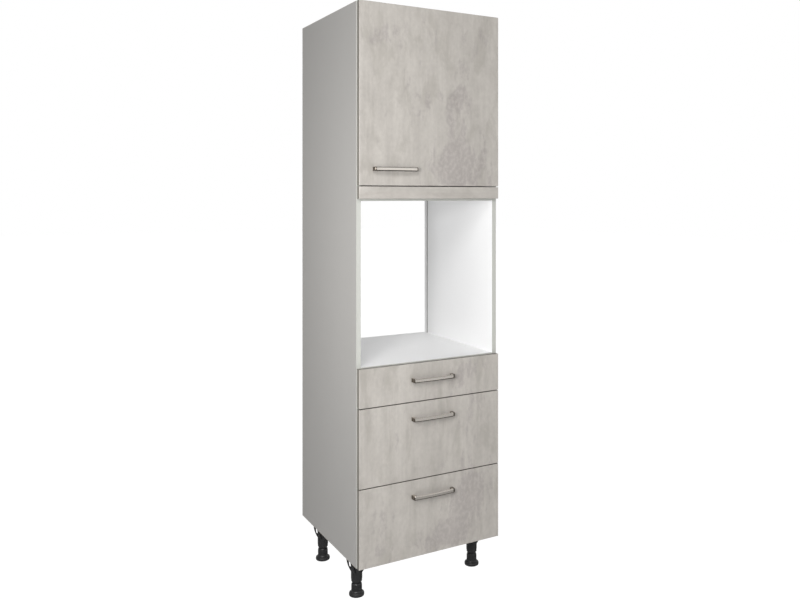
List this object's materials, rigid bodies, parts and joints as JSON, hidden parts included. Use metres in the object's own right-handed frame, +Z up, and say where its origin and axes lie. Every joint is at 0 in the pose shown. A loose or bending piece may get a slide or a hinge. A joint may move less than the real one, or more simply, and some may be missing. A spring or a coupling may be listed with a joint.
{
  "type": "tall oven housing unit",
  "caption": "Tall kitchen cabinet for a built-in oven: hinged door above an open niche, pull-out drawers with bow handles below it, adjustable legs.",
  "frame": {"origin": "on the floor, under the middle of the outer size, the handles' projection included", "axes": "+Z up, -Y towards the front, +X to the right as seen from the front"},
  "size_m": [0.6, 0.609, 2.19],
  "materials": {
    "side_board": "grey melamine outside, white melamine inside",
    "white_board": "white melamine, satin",
    "front_board": "light grey concrete decor, matt",
    "handle_steel": "brushed, stainless look",
    "plated_steel": "zinc or nickel plated",
    "drawer_steel": "white powder coat",
    "leg_plastic": "black, satin",
    "bumper_plastic": "clear soft plastic",
    "dowel_wood": "plain beech"
  },
  "bodies": {
    "carcass": {"side_left": "side_board", "side_right": "side_board", "top_panel": "white_board", "bottom_panel": "white_board", "niche_floor": "white_board", "niche_ceiling": "white_board", "filler_panel": "front_board", "filler_brackets": "plated_steel", "back_upper": "white_board", "back_lower": "white_board", "wall_rail": "white_board", "upper_shelf": "white_board", "shelf_pins": "plated_steel", "dowels": "dowel_wood", "hinge_plates": "plated_steel", "hinge_arms": "plated_steel", "drawer_1_runner_cabinet": "plated_steel", "drawer_2_runner_cabinet": "plated_steel", "drawer_3_runner_cabinet": "plated_steel", "leg_mount_front_left": "leg_plastic", "leg_mount_front_right": "leg_plastic", "leg_mount_rear_left": "leg_plastic", "leg_mount_rear_right": "leg_plastic"},
    "foot_front_left": {"foot_front_left": "leg_plastic"},
    "foot_front_right": {"foot_front_right": "leg_plastic"},
    "foot_rear_left": {"foot_rear_left": "leg_plastic"},
    "foot_rear_right": {"foot_rear_right": "leg_plastic"},
    "hinge_outer": {"hinge_outer_links": "plated_steel"},
    "hinge_inner": {"hinge_inner_links": "plated_steel"},
    "door": {"door_panel": "front_board", "door_handle": "handle_steel", "door_bumpers": "bumper_plastic", "hinge_cups": "plated_steel"},
    "drawer_1": {"drawer_1_front": "front_board", "drawer_1_handle": "handle_steel", "drawer_1_sides": "drawer_steel", "drawer_1_base": "white_board", "drawer_1_back": "white_board", "drawer_1_brackets": "plated_steel", "drawer_1_runner_drawer": "plated_steel"},
    "runner_1": {"drawer_1_runner_middle": "plated_steel"},
    "drawer_2": {"drawer_2_front": "front_board", "drawer_2_handle": "handle_steel", "drawer_2_sides": "drawer_steel", "drawer_2_base": "white_board", "drawer_2_back": "white_board", "drawer_2_brackets": "plated_steel", "drawer_2_runner_drawer": "plated_steel", "drawer_2_rods": "plated_steel"},
    "runner_2": {"drawer_2_runner_middle": "plated_steel"},
    "drawer_3": {"drawer_3_front": "front_board", "drawer_3_handle": "handle_steel", "drawer_3_sides": "drawer_steel", "drawer_3_base": "white_board", "drawer_3_back": "white_board", "drawer_3_brackets": "plated_steel", "drawer_3_runner_drawer": "plated_steel", "drawer_3_rods": "plated_steel"},
    "runner_3": {"drawer_3_runner_middle": "plated_steel"}
  },
  "joints": [
    {"name": "outer_links", "type": "hinge", "parent": "carcass", "child": "hinge_outer", "pos_m": [0.2636, -0.2375, 1.858], "axis": [0, 0, 1], "range_deg": [-29.9, 0]},
    {"name": "door_hinge", "type": "hinge", "parent": "hinge_outer", "child": "door", "pos_m": [0.2876, -0.2595, 1.858], "axis": [0, 0, 1], "range_deg": [0, 124.8]},
    {"name": "inner_links", "type": "hinge", "parent": "carcass", "child": "hinge_inner", "pos_m": [0.2571, -0.2545, 1.858], "axis": [0, 0, 1], "range_deg": [-20.6, 0]},
    {"name": "drawer_1_slide", "type": "slide", "parent": "carcass", "child": "drawer_1", "axis": [0, -1, 0], "range_m": [0, 0.45]},
    {"name": "runner_1_slide", "type": "slide", "parent": "carcass", "child": "runner_1", "axis": [0, -1, 0], "range_m": [0, 0.226]},
    {"name": "drawer_2_slide", "type": "slide", "parent": "carcass", "child": "drawer_2", "axis": [0, -1, 0], "range_m": [0, 0.45]},
    {"name": "runner_2_slide", "type": "slide", "parent": "carcass", "child": "runner_2", "axis": [0, -1, 0], "range_m": [0, 0.226]},
    {"name": "drawer_3_slide", "type": "slide", "parent": "carcass", "child": "drawer_3", "axis": [0, -1, 0], "range_m": [0, 0.45]},
    {"name": "runner_3_slide", "type": "slide", "parent": "carcass", "child": "runner_3", "axis": [0, -1, 0], "range_m": [0, 0.226]},
    {"name": "foot_front_left_height", "type": "slide", "parent": "carcass", "child": "foot_front_left", "axis": [0, 0, -1], "range_m": [0, 0.02]},
    {"name": "foot_front_right_height", "type": "slide", "parent": "carcass", "child": "foot_front_right", "axis": [0, 0, -1], "range_m": [0, 0.02]},
    {"name": "foot_rear_left_height", "type": "slide", "parent": "carcass", "child": "foot_rear_left", "axis": [0, 0, -1], "range_m": [0, 0.02]},
    {"name": "foot_rear_right_height", "type": "slide", "parent": "carcass", "child": "foot_rear_right", "axis": [0, 0, -1], "range_m": [0, 0.02]}
  ],
  "couplings": [
    {"joint": "outer_links", "follows": "door_hinge", "ratio": -0.23878},
    {"joint": "inner_links", "follows": "door_hinge", "ratio": -0.16426},
    {"joint": "runner_1_slide", "follows": "drawer_1_slide", "ratio": 0.5},
    {"joint": "runner_2_slide", "follows": "drawer_2_slide", "ratio": 0.5},
    {"joint": "runner_3_slide", "follows": "drawer_3_slide", "ratio": 0.5}
  ]
}
